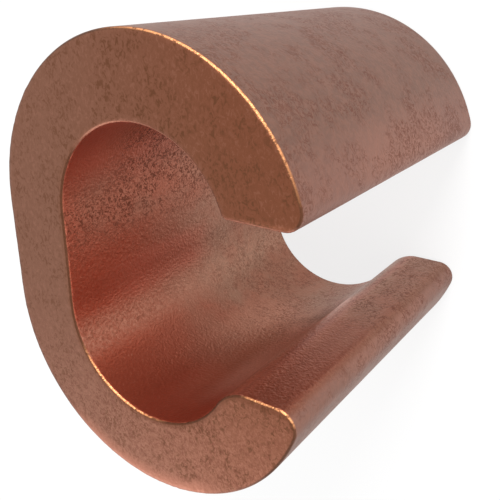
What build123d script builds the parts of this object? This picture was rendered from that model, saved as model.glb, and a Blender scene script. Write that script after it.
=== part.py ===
from build123d import *
import os

# Grounding cable tap: one short length of heavy copper C-section, cut off square at both ends.
# A ground conductor lies in one channel and the tap conductor that leaves it in the other, and the
# C is then pressed shut around both.
# The section lies in XY, with its open mouth towards +X, its jaw at +Y and its lip at -Y, and the body
# runs up along +Z. The tap stands on a cut end, with the origin in the middle of its footprint.
# Every size is in millimetres.

# Body
body_length = 38.1
wall = 7.55

# Two channels, one above the other, and the mouth between jaw and lip
channel_radius = 9.5
channel_spacing = 9.45
throat = 15.45

# Rounding of the section's corners: a heel lies by its channel, a nose on the outside
jaw_heel_radius = 0.6
jaw_nose_radius = 1.7
lip_heel_radius = 4.0
lip_nose_radius = 1.8

# Rounding of the cut ends, on every edge
end_edge_radius = 0.25


def channels():
    """Both channels and the flat that joins them at the back, centred on the origin."""
    return SlotCenterToCenter(channel_spacing, 2 * channel_radius, rotation=90)


def shoulders():
    """The outside of the section before the mouth is cut: one wall thicker than the channels all round."""
    return SlotCenterToCenter(channel_spacing, 2 * (channel_radius + wall), rotation=90)


def mouth():
    """The way in, from the middle of the channels out past the shoulders."""
    reach = 2 * (channel_radius + wall)
    return Rectangle(reach, throat, align=(Align.MIN, Align.CENTER))


def round_corners(outline, height, heel_radius, nose_radius):
    """Rounds the two corners on one side of the mouth, where its flat meets the channel and the shoulder."""
    tolerance = 1e-4
    for place, radius in ((0, heel_radius), (-1, nose_radius)):
        corners = outline.vertices().filter_by_position(Axis.Y, height - tolerance, height + tolerance)
        outline = fillet(corners.sort_by(Axis.X)[place], radius)
    return outline


def section():
    """The C of the tap: tight radii on the jaw above, and a fully rounded lip below."""
    outline = shoulders() - channels() - mouth()
    outline = round_corners(outline, throat / 2, jaw_heel_radius, jaw_nose_radius)
    return round_corners(outline, -throat / 2, lip_heel_radius, lip_nose_radius)


def tap_body():
    """The extruded C with its cut ends broken, moved so that the origin is the middle of its footprint."""
    body = extrude(section(), amount=body_length)
    ends = body.faces().sort_by(Axis.Z)
    body = fillet(ends[0].edges() + ends[-1].edges(), end_edge_radius)
    middle = body.bounding_box().center()
    return Pos(-middle.X, -middle.Y, 0) * body


os.makedirs("parts", exist_ok=True)
export_step(tap_body(), "parts/tap_body.step")
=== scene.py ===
"""A grounding cable tap: one length of heavy copper C-section, standing on its cut end on a pale floor.

The section lies in XY with its mouth towards +X and its jaw at +Y, and the tap runs up along +Z.
Everything is in metres.
"""

import logging
import math
from collections.abc import Callable
from dataclasses import dataclass, field
from enum import Enum

import bmesh
import bpy
import numpy as np
from mathutils import Matrix, Vector


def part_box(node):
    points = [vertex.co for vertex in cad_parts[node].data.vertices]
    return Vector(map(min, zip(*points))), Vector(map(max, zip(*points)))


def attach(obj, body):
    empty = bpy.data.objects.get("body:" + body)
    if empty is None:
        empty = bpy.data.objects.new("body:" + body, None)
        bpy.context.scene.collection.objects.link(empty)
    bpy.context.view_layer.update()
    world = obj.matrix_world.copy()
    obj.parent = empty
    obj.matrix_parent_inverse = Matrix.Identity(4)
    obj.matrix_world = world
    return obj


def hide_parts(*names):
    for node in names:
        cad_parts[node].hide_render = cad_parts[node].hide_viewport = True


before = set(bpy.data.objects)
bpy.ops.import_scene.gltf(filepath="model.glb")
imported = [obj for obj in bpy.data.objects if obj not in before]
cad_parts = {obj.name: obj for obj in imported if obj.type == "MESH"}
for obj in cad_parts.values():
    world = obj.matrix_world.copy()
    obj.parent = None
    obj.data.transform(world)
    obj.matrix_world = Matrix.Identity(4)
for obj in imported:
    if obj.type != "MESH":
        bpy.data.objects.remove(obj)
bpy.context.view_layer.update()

MM = 0.001
TOUCHING = 0.001 * MM
ON_PLANE = 0.01 * MM

Colour = tuple[float, float, float, float]
Point = tuple[float, float, float]
Socket = bpy.types.NodeSocket
Layer = tuple[float, Socket, Socket | Colour]
Side = tuple[str, float, float] | tuple[str, float, float, float, float]
Part = bmesh.types.BMEdge | bmesh.types.BMFace

log = logging.getLogger("tap")


class Skin(Enum):
    """What made a stretch of the tap's surface, or what light is painted on it. The value names the mesh
    attribute that marks it.
    """

    SAWN = "sawn_face"
    CHANNEL = "channel_wall"
    RIM = "broken_rim"
    # The next two mark painted highlights on the rims: a pink line and a bright line.
    PAINTED_PINK_LINE = "painted_pink_line_rim"
    PAINTED_HIGHLIGHT = "painted_highlight_rim"
    RUBBED = "rubbed_edge"


class Turn(Enum):
    """Which way round an arc is drawn, seen from above."""

    LEFT = 1
    RIGHT = -1


def slope(way: Vector) -> float:
    """Gives the angle of a direction in the section, from +X."""
    return math.atan2(way.y, way.x)


def fade(values: np.ndarray, end: float, width: float) -> np.ndarray:
    """Falls from 1 to 0 over a width that ends at a given value."""
    return np.clip((end - values) / width, 0, 1)


def read_vectors(piece: bpy.types.Object, name: str) -> np.ndarray:
    """Reads one vector of each vertex.

    Args:
        piece: The piece.
        name: What the mesh calls it: "co" for the place, "normal" for the direction.

    Returns:
        The vectors, as rows of X, Y and Z.
    """
    values = np.zeros(len(piece.data.vertices) * 3)
    piece.data.vertices.foreach_get(name, values)
    return values.reshape(-1, 3)


class MeshBench:
    """The hand tools of edit mode, on one mesh."""

    def __init__(self, name: str, start: Point) -> None:
        """Puts down a small plane and gathers it into one point, from which an outline is drawn.

        Args:
            name: The new object's name.
            start: Where the point is.
        """
        bpy.ops.object.select_all(action="DESELECT")
        bpy.ops.mesh.primitive_plane_add(size=MM, location=(0, 0, 0))
        self.piece: bpy.types.Object = bpy.context.active_object
        self.piece.name = self.piece.data.name = name
        bpy.ops.object.mode_set(mode="EDIT")
        bpy.ops.mesh.select_mode(type="VERT")
        bpy.ops.mesh.select_all(action="SELECT")
        bpy.ops.mesh.merge(type="CENTER")
        bpy.ops.transform.translate(value=start)

    def choose(self, kind: str, test: Callable[[Part], bool]) -> None:
        """Selects only the edges or faces that pass a test, for the next tool to act on.

        Args:
            kind: "edges" or "faces".
            test: Called with each of them, and true for those to select.
        """
        bpy.ops.mesh.select_mode(type={"edges": "EDGE", "faces": "FACE"}[kind])
        bpy.ops.mesh.select_all(action="DESELECT")
        mesh = bmesh.from_edit_mesh(self.piece.data)
        chosen = [item for item in getattr(mesh, kind) if test(item)]
        for item in chosen:
            item.select_set(True)
        mesh.select_flush_mode()
        bmesh.update_edit_mesh(self.piece.data)

    def draw_line(self, step: Point, pieces: int) -> None:
        """Draws the outline on from the selected point, in a straight line made of a number of edges."""
        for _ in range(pieces):
            bpy.ops.mesh.extrude_region_move(TRANSFORM_OT_translate={"value": tuple(Vector(step) / pieces)})

    def draw_arc(self, centre: Vector, angle: float, turn: Turn, pieces: int) -> None:
        """Draws the outline on round a centre from the selected point, by an angle in radians."""
        bpy.ops.mesh.spin(steps=pieces, angle=-angle * turn.value, center=centre, axis=(0, 0, 1), dupli=False)

    def join(self, gap: float) -> None:
        """Joins all points that lie within a gap of each other, and leaves everything selected."""
        bpy.ops.mesh.select_all(action="SELECT")
        bpy.ops.mesh.remove_doubles(threshold=gap)

    def close(self) -> bpy.types.Object:
        """Leaves edit mode, and gives the piece."""
        bpy.ops.object.mode_set(mode="OBJECT")
        return self.piece


class NodeBench:
    """Lays out a material's nodes. What is the same all over the surface is set on the sockets themselves."""

    def __init__(self, name: str) -> None:
        """Starts an empty material that ends in one Principled shader.

        Args:
            name: The material's name.
        """
        self.material = bpy.data.materials.new(name)
        self.material.use_nodes = True
        self.tree = self.material.node_tree
        self.tree.nodes.clear()
        self.shader = self.add("ShaderNodeBsdfPrincipled")
        output = self.add("ShaderNodeOutputMaterial")
        self.tree.links.new(self.shader.outputs["BSDF"], output.inputs["Surface"])
        self.place = self.add("ShaderNodeTexCoord").outputs["Object"]
        self.axes = self.add("ShaderNodeSeparateXYZ", {0: self.place}).outputs

    def add(self, kind: str, values: dict | None = None, **settings: object) -> bpy.types.Node:
        """Adds a node.

        Args:
            kind: The node's type.
            values: What goes into its inputs, by name or number: a socket to link, or a value to set.
            settings: Its own settings, by name.

        Returns:
            The node.
        """
        node = self.tree.nodes.new(kind)
        for name, value in settings.items():
            setattr(node, name, value)
        for name, value in (values or {}).items():
            if isinstance(value, Socket):
                self.tree.links.new(value, node.inputs[name])
            else:
                node.inputs[name].default_value = value
        return node

    def marked(self, skin: Skin) -> Socket:
        """Gives how far a place belongs to one kind of skin, from 0 to 1."""
        return self.add("ShaderNodeAttribute", attribute_name=skin.value).outputs["Fac"]

    def stretched(self, scale: Point, turn: Point) -> Socket:
        """Gives the object's coordinates, turned and then stretched for a pattern that runs one way.

        Args:
            scale: What each axis is multiplied by.
            turn: How far they are turned first, in degrees.

        Returns:
            The coordinates.
        """
        angles = tuple(math.radians(angle) for angle in turn)
        turned = self.add("ShaderNodeMapping", {"Vector": self.place, "Rotation": angles}).outputs[0]
        return self.add("ShaderNodeMapping", {"Vector": turned, "Scale": scale}).outputs[0]

    def noise(self, at: Socket, grain: float, detail: float, rough: float, warp: float = 0) -> Socket:
        """Adds a cloudy pattern around 0.5. The grain is the size of its largest spots."""
        values = {"Vector": at, "Scale": 1 / grain, "Detail": detail, "Roughness": rough, "Distortion": warp}
        return self.add("ShaderNodeTexNoise", values).outputs["Fac"]

    def band(self, value: Socket, low: float, high: float, bottom: float = 0, top: float = 1) -> Socket:
        """Turns a pattern into a mask that goes softly from bottom to top between two levels of it."""
        values = {"Value": value, "From Min": low, "From Max": high, "To Min": bottom, "To Max": top}
        return self.add("ShaderNodeMapRange", values, interpolation_type="SMOOTHSTEP").outputs["Result"]

    def thread(self, value: Socket, middle: float, width: float) -> Socket:
        """Picks out the thin lines along which a pattern passes one level, faded out at a width from it."""
        rising = self.band(value, middle - width, middle)
        return self.sum("MINIMUM", rising, self.band(value, middle + width, middle))

    def sum(self, operation: str, first: Socket | float, second: Socket | float) -> Socket:
        """Joins two patterns by arithmetic, kept within 0 to 1."""
        node = self.add("ShaderNodeMath", {0: first, 1: second}, operation=operation, use_clamp=True)
        return node.outputs[0]

    def product(self, *masks: Socket | float) -> Socket:
        """Multiplies masks with each other.

        Args:
            masks: The masks, or plain shares of them.

        Returns:
            The mask of what they all let through.
        """
        shared = masks[0]
        for mask in masks[1:]:
            shared = self.sum("MULTIPLY", shared, mask)
        return shared

    def patch(self, *sides: Side) -> Socket:
        """Marks a soft-edged patch of the tap.

        Args:
            sides: For each of its sides, the axis that it lies across, where it starts and where it is full,
                in millimetres. Its values there may follow, and are otherwise 0 and 1.

        Returns:
            The mask.
        """
        bands = []
        for axis, start, full, *values in sides:
            bands.append(self.band(self.axes[axis], start * MM, full * MM, *values))
        return self.product(*bands)

    def between(self, mask: Socket, low: Socket | float, high: Socket | float) -> Socket:
        """Passes from one number to another where a mask lets it."""
        return self.add("ShaderNodeMix", {0: mask, 2: low, 3: high}, data_type="FLOAT").outputs[0]

    def blend(self, mask: Socket, under: Socket | Colour, over: Socket | Colour) -> Socket:
        """Lays one colour over another where a mask lets it through.

        Args:
            mask: The mask.
            under: The colour below.
            over: The colour above.

        Returns:
            The colour of both.
        """
        node = self.add("ShaderNodeMix", data_type="RGBA", blend_type="MIX")
        for at, value in ((0, mask), (6, under), (7, over)):
            if isinstance(value, Socket):
                self.tree.links.new(value, node.inputs[at])
            else:
                node.inputs[at].default_value = value
        return node.outputs[2]

    def layers(self, ground: Socket | Colour, *coats: Layer) -> Socket:
        """Lays colours over a ground, one after the other.

        Args:
            ground: The colour at the bottom.
            coats: For each colour, how much of it is laid on, the mask of where, and the colour itself.

        Returns:
            The colour that shows.
        """
        for share, mask, colour in coats:
            ground = self.blend(self.product(mask, share), ground, colour)
        return ground


@dataclass(frozen=True)
class Coat:
    """What one kind of skin gives the shader: its colour and how dull it is."""

    colour: Socket
    dullness: Socket


@dataclass(frozen=True)
class BareCopper:
    """Bare copper that has browned in the air: sawn brown ends, a greyer mill skin and red channels, with
    painted light, shade and reflection laid into their colours.
    """

    sawn: Colour = (0.236, 0.104, 0.064, 1.0)
    # Painted reflection: the sawn face turns browner towards the nose.
    sawn_nose_painted_reflection: Colour = (0.212, 0.071, 0.035, 1.0)
    # A pale bloom for mottles and strokes, also laid as painted light.
    bloom_and_painted_light: Colour = (0.420, 0.190, 0.130, 1.0)
    rubbed: Colour = (0.500, 0.205, 0.135, 1.0)
    mill: Colour = (0.208, 0.111, 0.083, 1.0)
    # Painted light: the mill skin is paler on the lip's nose side.
    mill_nose_painted_light: Colour = (0.273, 0.136, 0.104, 1.0)
    # Dark tarnish for strokes and grains, also laid as painted shade.
    tarnish_and_painted_shade: Colour = (0.150, 0.055, 0.025, 1.0)
    # The channels' red ground: partly the copper's own red, partly painted red inter-reflection.
    channel: Colour = (0.445, 0.096, 0.052, 1.0)
    # Painted red reflection, and a painted highlight along the lip's heel.
    painted_red_reflection: Colour = (0.667, 0.198, 0.133, 1.0)
    # Painted reflection: channel walls turned greyer where they reflect the white light out of the mouth.
    painted_grey_reflection: Colour = (0.362, 0.193, 0.130, 1.0)
    # A pale colour for grains and specks, also laid as painted light in the channels' shaded hollows.
    pale_and_painted_light: Colour = (0.600, 0.285, 0.190, 1.0)
    # Painted light in the shaded crevice beside the lip's heel.
    painted_crevice_light: Colour = (0.740, 0.390, 0.290, 1.0)
    # Dark specks, also laid as painted shade on the lip's top.
    speck_and_painted_shade: Colour = (0.150, 0.042, 0.022, 1.0)
    # The rims' rounding is painted dark as painted shade, with a pink painted highlight on edges that face
    # away from the jaw and a bright painted highlight on edges that face the edge lamp.
    rim: Colour = (0.110, 0.042, 0.020, 1.0)
    painted_rim_pink_line: Colour = (0.560, 0.250, 0.170, 1.0)
    painted_rim_highlight: Colour = (0.960, 0.420, 0.180, 1.0)
    edge_tint: Colour = (0.95, 0.90, 0.88, 1.0)
    metal: float = 0.88
    sawn_dullness: float = 0.45
    mill_dullness: float = 0.45
    channel_dullness: float = 0.38
    rim_dullness: float = 0.50

    def sawn_coat(self, bench: NodeBench) -> Coat:
        """Gives a sawn end short strokes along the cut, a mottle low down, painted reflection that browns its
        nose side and painted light that pales its lower part.

        Args:
            bench: The material's nodes.

        Returns:
            The coat.
        """
        strokes = bench.noise(bench.stretched((1.5, 1.0, 1.5), (0, 0, -8)), 0.55 * MM, 3, 0.68, 1.0)
        flecks = bench.noise(bench.stretched((1.7, 1.0, 1.7), (0, 0, -50)), 0.5 * MM, 3, 0.7, 1.4)
        crowds = bench.noise(bench.place, 3.2 * MM, 3, 0.65)
        low_down = bench.patch(("Y", -2, -17))
        dark = bench.product(
            bench.band(strokes, 0.5, 0.6),
            bench.band(crowds, 0.44, 0.56, 0.2, 1),
            bench.patch(("X", -12, 6, 0.65, 1)),
        )
        light = bench.product(bench.band(strokes, 0.48, 0.36), bench.band(crowds, 0.6, 0.4, 0.3, 1))
        colour = bench.layers(
            self.sawn,
            # Painted reflection: browner towards the nose.
            (1.0, bench.patch(("X", -12, 14)), self.sawn_nose_painted_reflection),
            # Painted light: paler towards the bottom.
            (0.27, low_down, self.bloom_and_painted_light),
            (0.2, light, self.bloom_and_painted_light),
            (1.0, dark, self.tarnish_and_painted_shade),
            (0.6, bench.product(bench.band(flecks, 0.48, 0.6), low_down), self.speck_and_painted_shade),
            (0.8, bench.marked(Skin.RUBBED), self.rubbed),
        )
        low, high = self.sawn_dullness - 0.05, self.sawn_dullness + 0.05
        return Coat(colour, bench.band(strokes, 0.3, 0.7, low, high))

    def mill_coat(self, bench: NodeBench) -> Coat:
        """Gives the mill skin a fine mottle and crowds of thin, scribbled, darker red lines, with painted
        light on the lip's nose side and painted shade towards the floor end.

        Args:
            bench: The material's nodes.

        Returns:
            The coat.
        """
        mottle = bench.band(bench.noise(bench.place, 0.7 * MM, 5, 0.75, 0.5), 0.38, 0.62)
        scribble = bench.noise(bench.stretched((1.0, 1.3, 1.5), (20, 0, 40)), 1.0 * MM, 3, 0.6, 1.4)
        crowds = bench.band(bench.noise(bench.place, 5 * MM, 4, 0.65), 0.43, 0.56, 0.05, 1)
        lines = bench.product(bench.thread(scribble, 0.5, 0.07), crowds, bench.patch(("Z", 38, 14, 0.7, 1)))
        nose = bench.patch(("X", 14, 16.7), ("Y", -11, -8))
        far_nose = bench.product(nose, bench.patch(("Z", 30, 24), ("Z", 6, 13)))
        low_down = bench.patch(("Z", 28, 6, 0, 0.15), ("X", 16, 12))
        colour = bench.layers(
            self.mill,
            # Painted light: paler on the lip's nose side, more so part-way towards the floor end.
            (1.0, nose, self.mill_nose_painted_light),
            (0.3, far_nose, self.bloom_and_painted_light),
            # Painted shade: darker towards the floor end, away from the nose.
            (1.0, low_down, self.tarnish_and_painted_shade),
            (0.22, mottle, self.bloom_and_painted_light),
            (0.8, lines, self.speck_and_painted_shade),
        )
        low, high = self.mill_dullness, self.mill_dullness + 0.08
        return Coat(colour, bench.band(lines, 0, 1, low, high))

    def painted_light_and_stains(self, bench: NodeBench) -> list[Layer]:
        """Lists the patches laid over a channel's red ground: painted reflection, greyer or redder; painted
        light in its shaded hollows; and a few darker patches.

        Args:
            bench: The material's nodes.

        Returns:
            The patches, from the lowest layer up.
        """
        cloud = bench.band(bench.noise(bench.place, 6 * MM, 3, 0.6, 0.4), 0.3, 0.7, 0.6, 1)
        upper = bench.patch(("Y", -2, 3, 0, 0.64), ("Y", 10.5, 6.5), ("Z", 41, 32))
        deep = bench.product(bench.sum("MAXIMUM", bench.patch(("Z", 36, 12)), upper), cloud)
        roof = bench.patch(("Y", 5, 10.3), ("Z", 41, 33), ("Z", 21, 30))
        roof_end = bench.product(roof, bench.patch(("Z", 37, 31)))
        bend = bench.patch(("Y", -12.5, -14.2), ("Z", 30, 15), ("Z", 5, 16))
        valley = bench.patch(("Y", -1.5, -3.5), ("Y", -8.2, -5.8), ("Z", 35, 27), ("Z", 13, 21))
        flank = bench.patch(("Y", -9.6, -11.2), ("X", -0.5, -2.5))
        hollow = bench.patch(("Y", -13, -14), ("X", -2, 1), ("Z", 39, 29), ("Z", 6, 16))
        lee = bench.patch(("X", 1.4, 4.2), ("X", 11.5, 9), ("Y", -7, -8.5), ("Z", 36, 25), ("Z", 12.5, 15.5))
        return [
            # Painted reflection: greyer deeper in and high up, clouded at random.
            (1.0, deep, self.painted_grey_reflection),
            # Painted red reflection on the upper channel's roof, and painted light on it near the front end.
            (0.8, roof, self.painted_red_reflection),
            (0.35, roof_end, self.pale_and_painted_light),
            # Painted light in the lower channel's shaded bend.
            (0.7, bend, self.pale_and_painted_light),
            # Painted red reflection on the lower channel's back wall.
            (0.45, valley, self.painted_red_reflection),
            (0.22, bench.patch(("Z", 18, 5)), self.tarnish_and_painted_shade),
            # Painted reflection on the band that reflects the light from the mouth.
            (0.35, self.reflected_band(bench), self.painted_grey_reflection),
            (0.12, flank, self.tarnish_and_painted_shade),
            # Painted light in the shaded hollow deep in the lower channel.
            (0.25, hollow, self.pale_and_painted_light),
            # Painted light in the shaded crevice beside the lip's heel.
            (0.9, lee, self.painted_crevice_light),
        ]

    def reflected_band(self, bench: NodeBench) -> Socket:
        """Marks the band along the lower channel that reflects the light coming in at the mouth, where its
        colour paints that reflection.
        """
        return bench.patch(("Y", -6, -8.5), ("Y", -11.2, -9.2))

    def pepper(self, bench: NodeBench, specks: Socket) -> Socket:
        """Gathers dark specks into crowds, high up in the channels, far in and on the lip.

        Args:
            bench: The material's nodes.
            specks: The pattern of all specks.

        Returns:
            The mask of the dark ones.
        """
        crowds = bench.band(bench.noise(bench.place, 2.6 * MM, 3, 0.65), 0.38, 0.5, 0.2, 1)
        crowds = bench.sum("MAXIMUM", crowds, bench.patch(("Z", 28, 20, 0, 0.85), ("Y", -2, 0.5)))
        home = bench.sum("MAXIMUM", bench.patch(("Y", -3, 4, 0.15, 1)), bench.patch(("Z", 26, 10, 0, 0.55)))
        home = bench.sum("MAXIMUM", home, bench.patch(("X", 9, 11), ("Z", 28, 16, 0, 0.78)))
        home = bench.sum("SUBTRACT", home, bench.patch(("Y", 3, 9), ("Z", 28, 34)))
        return bench.product(bench.band(specks, 0.47, 0.57), crowds, home)

    def channel_coat(self, bench: NodeBench) -> Coat:
        """Gives a channel's wall a red ground, partly painted red inter-reflection, with painted reflection
        and light laid over it, fog, grains, painted shade on the lip's top, a painted highlight along the
        lip's heel and crowds of dark pepper.

        Args:
            bench: The material's nodes.

        Returns:
            The coat.
        """
        fog = bench.product(
            bench.band(bench.noise(bench.place, 0.4 * MM, 3, 0.7, 0.8), 0.44, 0.56),
            bench.patch(("Y", -6, -8.5, 0.4, 1), ("Y", -11.5, -9, 0.1, 1), ("X", 10, 6, 0.2, 1)),
        )
        grains = bench.noise(bench.place, 0.3 * MM, 2, 0.6, 0.6)
        grainy = bench.product(self.reflected_band(bench), bench.patch(("Z", 18, 32)))
        specks = bench.noise(bench.place, 0.38 * MM, 3, 0.65, 1.4)
        pepper = self.pepper(bench, specks)
        crest = bench.thread(bench.axes["X"], 10.8 * MM, 0.9 * MM)
        colour = bench.layers(
            self.channel,
            *self.painted_light_and_stains(bench),
            # A pale fog, laid thickest on the band that reflects the light from the mouth, where it is partly
            # painted reflection.
            (0.3, fog, self.pale_and_painted_light),
            # Light and dark grains on the far part of that band, painted in for its sparkle.
            (0.35, bench.product(grainy, bench.band(grains, 0.52, 0.62)), self.pale_and_painted_light),
            (0.35, bench.product(grainy, bench.band(grains, 0.48, 0.38)), self.tarnish_and_painted_shade),
            (0.4, bench.band(specks, 0.36, 0.28), self.pale_and_painted_light),
            # Painted shade on the lip's top.
            (0.3, bench.patch(("X", 11.2, 13)), self.speck_and_painted_shade),
            # Painted highlight along the crest of the lip's heel.
            (0.35, crest, self.painted_red_reflection),
            (0.85, pepper, self.speck_and_painted_shade),
        )
        low, high = self.channel_dullness, self.channel_dullness + 0.15
        return Coat(colour, bench.band(pepper, 0, 1, low, high))

    def relief(self, bench: NodeBench, sawn: Socket, channel: Socket, rim: Socket) -> Socket:
        """Gives the channels their orange peel, the other skins less of it and the rims a jagged burr.

        Args:
            bench: The material's nodes.
            sawn: Where the sawn ends are.
            channel: Where the channels' walls are.
            rim: Where the rims are.

        Returns:
            The surface's direction.
        """
        direction = None
        for grain, depth, share in (
            (0.22 * MM, 0.018 * MM, 1.0),
            (0.30 * MM, 0.06 * MM, bench.between(sawn, bench.band(channel, 0, 1, 0.5, 1), 0.2)),
            (0.25 * MM, 0.080 * MM, rim),
        ):
            bumps = bench.noise(bench.place, grain, 2, 0.55)
            values = {"Height": bumps, "Strength": share, "Distance": depth}
            if direction:
                values["Normal"] = direction
            direction = bench.add("ShaderNodeBump", values).outputs[0]
        return direction

    def material(self, name: str) -> bpy.types.Material:
        """Lays out the finish.

        Args:
            name: The material's name.

        Returns:
            The material.
        """
        bench = NodeBench(name)
        sawn, channel, rim = (bench.marked(skin) for skin in (Skin.SAWN, Skin.CHANNEL, Skin.RIM))
        ends, mill, walls = self.sawn_coat(bench), self.mill_coat(bench), self.channel_coat(bench)

        seam = bench.sum("MINIMUM", bench.band(channel, 0, 0.5), bench.band(channel, 1, 0.5))
        chips = bench.band(bench.noise(bench.place, 0.35 * MM, 2, 0.6), 0.36, 0.5, 0.25, 1)
        # The rims' colour: painted shade, a pink painted highlight on edges that face away from the jaw, and
        # a bright painted highlight, broken by chips, on edges that face the edge lamp.
        rims = bench.layers(
            self.rim,
            (1.0, bench.marked(Skin.PAINTED_PINK_LINE), self.painted_rim_pink_line),
            (1.0, bench.product(bench.marked(Skin.PAINTED_HIGHLIGHT), chips), self.painted_rim_highlight),
        )
        colour = bench.layers(
            mill.colour,
            (1.0, channel, walls.colour),
            (0.25, seam, self.tarnish_and_painted_shade),
            (1.0, sawn, ends.colour),
            (0.9, rim, rims),
        )
        bench.tree.links.new(colour, bench.shader.inputs["Base Color"])

        dullness = bench.between(channel, mill.dullness, walls.dullness)
        dullness = bench.between(sawn, dullness, ends.dullness)
        dullness = bench.between(rim, dullness, self.rim_dullness)
        bench.tree.links.new(dullness, bench.shader.inputs["Roughness"])

        bench.tree.links.new(self.relief(bench, sawn, channel, rim), bench.shader.inputs["Normal"])
        bench.shader.inputs["Metallic"].default_value = self.metal
        bench.shader.inputs["Specular Tint"].default_value = self.edge_tint
        return bench.material


@dataclass(frozen=True)
class PaleFloor:
    """A plain white studio floor, which metal sees as white too, and which keeps the tap's soft shadow."""

    paint: Colour = (0.9, 0.9, 0.9, 1.0)
    glow: float = 0.8
    glow_in_metal: float = 1.0

    def material(self, name: str) -> bpy.types.Material:
        """Lays out the finish.

        Args:
            name: The material's name.

        Returns:
            The material.
        """
        material = bpy.data.materials.new(name)
        material.use_nodes = True
        nodes, links = material.node_tree.nodes, material.node_tree.links
        nodes.clear()
        painted = nodes.new("ShaderNodeBsdfDiffuse")
        painted.inputs["Color"].default_value = self.paint
        white = nodes.new("ShaderNodeEmission")
        white.inputs["Strength"].default_value = 1.0
        rays = nodes.new("ShaderNodeLightPath")
        seen = None
        for kind, level in (
            ("Is Camera Ray", self.glow),
            ("Is Glossy Ray", self.glow_in_metal),
        ):
            share = nodes.new("ShaderNodeMath")
            share.operation = "MULTIPLY_ADD"
            links.new(rays.outputs[kind], share.inputs[0])
            share.inputs[1].default_value = level
            share.inputs[2].default_value = 0
            if seen:
                links.new(seen, share.inputs[2])
            seen = share.outputs[0]
        both = nodes.new("ShaderNodeMixShader")
        links.new(seen, both.inputs[0])
        links.new(painted.outputs[0], both.inputs[1])
        links.new(white.outputs[0], both.inputs[2])
        output = nodes.new("ShaderNodeOutputMaterial")
        links.new(both.outputs[0], output.inputs["Surface"])
        return material


@dataclass(frozen=True)
class SectionSteps:
    """How many edges each stretch of the section is drawn with.

    From the middle of one tip to the middle of the other, the inside and the outside have the same number.
    """

    jaw_heel: int = 6
    upper_channel: int = 114
    back: int = 22
    lower_channel: int = 102
    lip_heel: int = 22
    lip_flat: int = 7
    nose: int = 10
    shoulder: int = 110
    jaw_flat: int = 12


@dataclass(frozen=True)
class SkinMap:
    """How far each kind of skin reaches.

    Directions are in degrees from +X, seen from above. A pace is how fast a painted highlight ends towards
    one side, against the plain angle. A lean is how far an edge's rounding has turned from the side towards
    the sawn face.
    """

    channel_lap: float = 1.4 * MM
    channel_fade: float = 0.8 * MM
    mouth_lap: float = 0.6 * MM
    rubbed_width: float = 1.9 * MM
    rubbed_fade: float = 1.6 * MM
    rubbed_below: float = -16.5 * MM
    rubbed_below_fade: float = 2.5 * MM
    rubbed_before: float = 9 * MM
    rubbed_before_fade: float = 3 * MM
    rim_gain: float = 2.4
    rim_start: float = 0.45
    highlight_towards: float = 62.0
    highlight_reach: float = 55.0
    right_inside_pace: float = 1.5
    right_outside_pace: float = 1.2
    left_pace: float = 1.4
    pink_line_towards: float = -95.0
    pink_line_reach: float = 58.0
    turn_fade: float = 25.0
    highlight_lean: float = 0.97
    highlight_lean_fade: float = 0.3
    pink_line_lean: float = 0.99
    pink_line_lean_fade: float = 0.1

    def rims(self, normals: np.ndarray, inside: np.ndarray, shown: np.ndarray) -> dict[Skin, np.ndarray]:
        """Works out how far each vertex is on a cut edge's rounding, and where its painted highlights lie.

        Args:
            normals: The vertices' directions.
            inside: Which vertices lie nearer to the channels than to the shoulders.
            shown: Which vertices lie on the end whose edges carry the painted highlights.

        Returns:
            The rounding's share of each vertex, and the shares of it that carry the pink and the bright
            painted highlight.
        """
        lean = np.clip(np.abs(normals[:, 2]), 0, 1)
        facing = np.degrees(np.arctan2(normals[:, 1], normals[:, 0]))
        turned = facing - self.highlight_towards
        to_right = -np.where(inside, self.right_inside_pace, self.right_outside_pace) * turned
        turned = np.where(turned < 0, to_right, self.left_pace * turned)
        painted_highlight = fade(turned, self.highlight_reach, self.turn_fade) * fade(lean, self.highlight_lean, self.highlight_lean_fade)
        from_pink_line = np.abs(facing - self.pink_line_towards)
        painted_pink_line = fade(from_pink_line, self.pink_line_reach, self.turn_fade)
        painted_pink_line = painted_pink_line * fade(lean, self.pink_line_lean, self.pink_line_lean_fade)
        rim = np.clip(np.sin(2 * np.arcsin(lean)) * self.rim_gain - self.rim_start, 0, 1)
        return {Skin.RIM: rim, Skin.PAINTED_PINK_LINE: painted_pink_line * shown, Skin.PAINTED_HIGHLIGHT: painted_highlight * shown}


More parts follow.
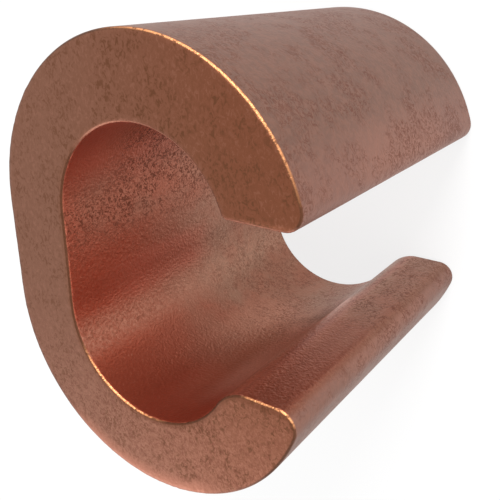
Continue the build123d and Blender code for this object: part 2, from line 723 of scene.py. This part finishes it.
@dataclass
class TapBody:
    """The tap itself: a C-section, cut off square at both ends and broken at every edge of the cuts."""

    length: float = 38.1 * MM
    wall: float = 7.55 * MM
    channel_radius: float = 9.5 * MM
    channel_spacing: float = 9.45 * MM
    throat: float = 15.45 * MM
    jaw_heel_radius: float = 0.6 * MM
    jaw_nose_radius: float = 1.7 * MM
    lip_heel_radius: float = 4.0 * MM
    lip_nose_radius: float = 1.8 * MM
    end_edge_radius: float = 0.25 * MM
    mesh_step: float = 0.42 * MM
    rim_steps: int = 4
    sway: float = 0.02 * MM
    sway_size: float = 5 * MM
    chipping: float = 0.07 * MM
    chip_size: float = 0.5 * MM
    inward: float = 1.1
    least_wear: float = 0.01
    crease: float = 40.0
    steps: SectionSteps = field(default_factory=SectionSteps)
    skins: SkinMap = field(default_factory=SkinMap)
    finish: BareCopper = field(default_factory=BareCopper)

    @property
    def axis_x(self) -> float:
        """How far the channels' axes lie from the middle of the footprint, along X."""
        nose = self.corner(self.jaw_nose_radius, outside=True).x + self.jaw_nose_radius
        return (self.channel_radius + self.wall - nose) / 2

    @property
    def shoulder_radius(self) -> float:
        """The radius of the outside, one wall more than the channels'."""
        return self.channel_radius + self.wall

    @property
    def steps_across(self) -> int:
        """How many faces lie between a channel and the shoulder outside it."""
        return round(self.wall / self.mesh_step)

    @property
    def rise(self) -> float:
        """How far each channel's axis lies above or below the middle."""
        return self.channel_spacing / 2

    def corner(self, radius: float, outside: bool) -> Vector:
        """Finds the centre of a corner's rounding, from the axis of its channel, for the jaw.

        Args:
            radius: The rounding's radius.
            outside: True for a nose, on the shoulder, and false for a heel, on the channel.

        Returns:
            The centre.
        """
        across = self.throat / 2 + radius - self.rise
        reach = self.shoulder_radius - radius if outside else self.channel_radius + radius
        return Vector((math.sqrt(reach**2 - across**2), across, 0))

    def draw_section(self, bench: MeshBench) -> None:
        """Draws the whole section in one line: channels, the lip's flat, shoulders and the jaw's flat.

        Args:
            bench: The mesh, with its pen at the section's start.
        """
        upper, lower = Vector((self.axis_x, self.rise, 0)), Vector((self.axis_x, -self.rise, 0))
        jaw_heel = self.corner(self.jaw_heel_radius, outside=False)
        jaw_nose = self.corner(self.jaw_nose_radius, outside=True)
        lip_heel = self.corner(self.lip_heel_radius, outside=False)
        lip_nose = self.corner(self.lip_nose_radius, outside=True)
        below = Vector((1, -1, 1))
        quarter, half = math.pi / 2, math.pi

        steps = self.steps
        bench.draw_arc(upper + jaw_heel, quarter - slope(jaw_heel), Turn.RIGHT, steps.jaw_heel)
        bench.draw_arc(upper, half - slope(jaw_heel), Turn.LEFT, steps.upper_channel)
        bench.draw_line((0, -self.channel_spacing, 0), steps.back)
        bench.draw_arc(lower, half - slope(lip_heel), Turn.LEFT, steps.lower_channel)
        bench.draw_arc(lower + lip_heel * below, quarter - slope(lip_heel), Turn.RIGHT, steps.lip_heel)
        bench.draw_line((lip_nose.x - lip_heel.x, 0, 0), steps.lip_flat)
        bench.draw_arc(lower + lip_nose * below, quarter + slope(lip_nose), Turn.RIGHT, steps.nose)
        bench.draw_arc(lower, half - slope(lip_nose), Turn.RIGHT, steps.shoulder)
        bench.draw_line((0, self.channel_spacing, 0), steps.back)
        bench.draw_arc(upper, half - slope(jaw_nose), Turn.RIGHT, steps.shoulder)
        bench.draw_arc(upper + jaw_nose, quarter + slope(jaw_nose), Turn.RIGHT, steps.nose)
        bench.draw_line((jaw_heel.x - jaw_nose.x, 0, 0), steps.jaw_flat)
        bench.join(TOUCHING)

    def model(self) -> bpy.types.Object:
        """Models the body from one drawn point to the finished mesh.

        Returns:
            The piece.
        """
        jaw_heel = self.corner(self.jaw_heel_radius, outside=False)
        bench = MeshBench("copper_tap", (self.axis_x + jaw_heel.x, self.throat / 2, 0))
        self.draw_section(bench)
        bpy.ops.mesh.edge_face_add()
        bpy.ops.mesh.extrude_region_move(TRANSFORM_OT_translate={"value": (0, 0, self.length)})

        bench.choose("edges", lambda edge: abs(edge.verts[0].co.z - edge.verts[1].co.z) > self.length / 2)
        rings = round(self.length / self.mesh_step)
        bpy.ops.mesh.subdivide_edgering(number_cuts=rings, interpolation="LINEAR", smoothness=0)
        bpy.ops.mesh.select_all(action="SELECT")
        bpy.ops.mesh.normals_make_consistent(inside=False)

        bench.choose("edges", lambda edge: any(len(face.verts) > 4 for face in edge.link_faces))
        bpy.ops.mesh.bevel(
            offset=self.end_edge_radius,
            offset_type="OFFSET",
            segments=self.rim_steps,
            profile=0.5,
            affect="EDGES",
        )
        self.face_ends(bench)
        piece = bench.close()
        self.mark(piece)
        self.wear(piece)
        bpy.ops.object.shade_smooth_by_angle(angle=math.radians(self.crease))
        return piece

    def tip_span(self, heel_radius: float, nose_radius: float) -> tuple[float, float]:
        """Finds where a jaw's or lip's tip turns into its sides, half-way round its two corners.

        Args:
            heel_radius: The radius of its corner by the channel.
            nose_radius: The radius of its corner on the outside.

        Returns:
            Both places along X, on the face of a cut end.
        """
        heel, nose = self.corner(heel_radius, outside=False), self.corner(nose_radius, outside=True)
        heel_turn, nose_turn = (math.pi / 2 - slope(heel)) / 2, (math.pi / 2 + slope(nose)) / 2
        heel_reach = (heel_radius - self.end_edge_radius) * math.sin(heel_turn)
        nose_reach = (nose_radius - self.end_edge_radius) * math.sin(nose_turn)
        return (self.axis_x + heel.x - heel_reach, self.axis_x + nose.x + nose_reach)

    def on_side(self, edge: bmesh.types.BMEdge, height: float) -> bool:
        """Tells the open edges along the channels and shoulders of a cut end from those on its two tips.

        Args:
            edge: Any edge of the mesh.
            height: How high up the cut end is.

        Returns:
            True for an open edge of that end that isn't on a tip.
        """
        middle = (edge.verts[0].co + edge.verts[1].co) / 2
        if not edge.is_boundary or abs(middle.z - height) > ON_PLANE:
            return False
        if middle.y > 0:
            start, end = self.tip_span(self.jaw_heel_radius, self.jaw_nose_radius)
        else:
            start, end = self.tip_span(self.lip_heel_radius, self.lip_nose_radius)
        by_mouth = abs(middle.y) < (self.throat + self.lip_nose_radius) / 2
        return not (by_mouth and start < middle.x < end)

    def face_ends(self, bench: MeshBench) -> None:
        """Fills both cut ends with rows of faces that run from the channels out to the shoulders.

        Args:
            bench: The mesh, with one large face on each end.
        """
        bench.choose("faces", lambda face: len(face.verts) > 4)
        bpy.ops.mesh.delete(type="ONLY_FACE")
        for height in (0, self.length):
            bench.choose("edges", lambda edge: self.on_side(edge, height))
            bpy.ops.mesh.bridge_edge_loops(number_cuts=self.steps_across - 1, interpolation="LINEAR")
        bench.choose("edges", lambda edge: edge.is_boundary)
        bpy.ops.mesh.fill_holes(sides=0)
        bpy.ops.mesh.select_all(action="SELECT")
        bpy.ops.mesh.normals_make_consistent(inside=False)

    def mark(self, piece: bpy.types.Object) -> None:
        """Marks how far each vertex belongs to each kind of skin, from 0 to 1.

        Args:
            piece: The body.
        """
        skins = self.skins
        x, y, z = read_vectors(piece, "co").T
        height = np.abs(y)
        from_end = np.minimum(z, self.length - z)
        from_axis = np.hypot(x - self.axis_x, np.maximum(height - self.rise, 0))
        in_channel = fade(from_axis, self.channel_radius + skins.channel_lap, skins.channel_fade)
        in_mouth = fade(height, self.throat / 2 + skins.mouth_lap, skins.mouth_lap) * (x >= 0)
        by_shoulder = fade(self.shoulder_radius - from_axis, skins.rubbed_width, skins.rubbed_fade)
        below = fade(y, skins.rubbed_below, skins.rubbed_below_fade)
        before_lip = fade(x, skins.rubbed_before, skins.rubbed_before_fade)
        inside = from_axis < self.channel_radius + self.wall / 2
        marks = {
            Skin.SAWN: fade(from_end, self.end_edge_radius, self.end_edge_radius),
            Skin.CHANNEL: np.minimum(in_channel + in_mouth, 1),
            Skin.RUBBED: by_shoulder * below * before_lip,
            **skins.rims(read_vectors(piece, "normal"), inside, z > self.length / 2),
        }
        for skin in Skin:
            attribute = piece.data.attributes.new(skin.value, "FLOAT", "POINT")
            attribute.data.foreach_set("value", marks[skin].astype(np.float32))

    def wear(self, piece: bpy.types.Object) -> None:
        """Takes the metal's last evenness away: the skin sways a little, and the rims are slightly chipped.

        Args:
            piece: The body.
        """
        values = np.zeros(len(piece.data.vertices), np.float32)
        piece.data.attributes[Skin.RIM.value].data.foreach_get("value", values)
        group = piece.vertex_groups.new(name="rim")
        for index in np.flatnonzero(values > self.least_wear):
            group.add([int(index)], float(values[index]), "REPLACE")
        for name, size, depth, where in (
            ("sway", self.sway_size, self.sway, ""),
            ("chipping", self.chip_size, self.chipping, "rim"),
        ):
            clouds = bpy.data.textures.new(name, "CLOUDS")
            clouds.noise_scale = size
            clouds.noise_depth = 1
            modifier = piece.modifiers.new(name, "DISPLACE")
            modifier.texture = clouds
            modifier.texture_coords = "LOCAL"
            modifier.strength = depth
            modifier.mid_level = self.inward
            modifier.vertex_group = where
            bpy.ops.object.modifier_apply(modifier=name)
        piece.vertex_groups.clear()

    def build(self) -> bpy.types.Object:
        """Models and dresses the body, and sets it in the frame in the plain solid's place.

        Returns:
            The piece.
        """
        piece = self.model()
        piece.data.materials.clear()
        piece.data.materials.append(self.finish.material("bare_copper"))
        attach(piece, "root")
        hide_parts("tap_body")
        return piece


@dataclass(frozen=True)
class Lamp:
    """A square soft lamp that faces the tap. At level 1 its face is as bright as what is drawn as white."""

    name: str
    towards: Point
    away: float
    side: float
    level: float
    tint: Colour = (1.0, 1.0, 1.0, 1.0)

    def light(self, target: Vector) -> None:
        """Hangs the lamp.

        Args:
            target: What it faces.
        """
        data = bpy.data.lights.new(self.name, "AREA")
        data.size = self.side
        data.energy = self.level * math.pi * self.side**2
        data.color = self.tint[:3]
        lamp = bpy.data.objects.new(self.name, data)
        bpy.context.scene.collection.objects.link(lamp)
        direction = Vector(self.towards).normalized()
        lamp.location = target + direction * self.away
        lamp.rotation_euler = direction.to_track_quat("Z", "Y").to_euler()


@dataclass
class Studio:
    """The floor, the lamps, the air and the camera around the tap."""

    air_low: float = 1.05
    air_high: float = 0.82
    lens: float = 50.0
    sensor: float = 36.0
    camera_place: Point = (0.040047, 0.025734, 0.079069)
    camera_turn: float = 34.254
    camera_tilt: float = 21.897
    floor_side: float = 3.0
    lamps: tuple[Lamp, ...] = (
        Lamp("edge_lamp", (0.15, 0.82, 0.52), 0.5, 0.2, 18.0),
        Lamp("fill_lamp", (-0.38, -0.82, 0.42), 0.5, 0.3, 1.3),
        Lamp("mouth_lamp", (0.88, -0.25, 0.38), 0.5, 0.3, 1.5),
    )

    def lay_floor(self) -> None:
        """Lays the pale floor under the tap."""
        bpy.ops.object.select_all(action="DESELECT")
        bpy.ops.mesh.primitive_plane_add(size=self.floor_side, location=(0, 0, 0))
        floor = bpy.context.active_object
        floor.name = "floor"
        floor.data.materials.append(PaleFloor().material("pale_floor"))

    def fill_air(self) -> None:
        """Fills the studio with plain white light, a little dimmer from above than from all round."""
        world = bpy.data.worlds.new("studio_air")
        world.use_nodes = True
        nodes, links = world.node_tree.nodes, world.node_tree.links
        way = nodes.new("ShaderNodeTexCoord")
        parts = nodes.new("ShaderNodeSeparateXYZ")
        level = nodes.new("ShaderNodeMapRange")
        links.new(way.outputs["Generated"], parts.inputs[0])
        links.new(parts.outputs["Z"], level.inputs["Value"])
        level.inputs["To Min"].default_value = self.air_low
        level.inputs["To Max"].default_value = self.air_high
        background = nodes["Background"]
        background.inputs["Color"].default_value = (1.0, 1.0, 1.0, 1.0)
        links.new(level.outputs["Result"], background.inputs["Strength"])
        bpy.context.scene.world = world

    def set_camera(self) -> None:
        """Stands the camera where the photograph was taken, turned with it."""
        turn, tilt = math.radians(self.camera_turn), math.radians(self.camera_tilt)
        right = Vector((math.cos(turn), 0, -math.sin(turn)))
        up = Vector((-math.sin(turn) * math.sin(tilt), math.cos(tilt), -math.cos(turn) * math.sin(tilt)))
        back = right.cross(up)
        data = bpy.data.cameras.new("camera")
        data.lens = self.lens
        data.sensor_width = self.sensor
        data.clip_start = MM
        camera = bpy.data.objects.new("camera", data)
        bpy.context.scene.collection.objects.link(camera)
        facing = Matrix((right, up, back)).transposed().to_4x4()
        camera.matrix_world = Matrix.Translation(self.camera_place) @ facing
        bpy.context.scene.camera = camera

    def build(self, target: Vector) -> None:
        """Sets the studio up around the tap.

        Args:
            target: The middle of the tap.
        """
        self.lay_floor()
        self.fill_air()
        for lamp in self.lamps:
            lamp.light(target)
        self.set_camera()
        bpy.context.scene.view_settings.view_transform = "Standard"


def main() -> None:
    """Builds the tap and its studio from the plain solid's box."""
    logging.basicConfig(level=logging.INFO, format="%(name)s: %(message)s")
    low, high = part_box("tap_body")
    tap = TapBody(length=high.z - low.z)
    piece = tap.build()
    log.info("%s: %d faces", piece.name, len(piece.data.polygons))
    Studio().build((low + high) / 2)
    log.info("studio: floor, air, lamps and camera")


if __name__ == "__main__":
    main()
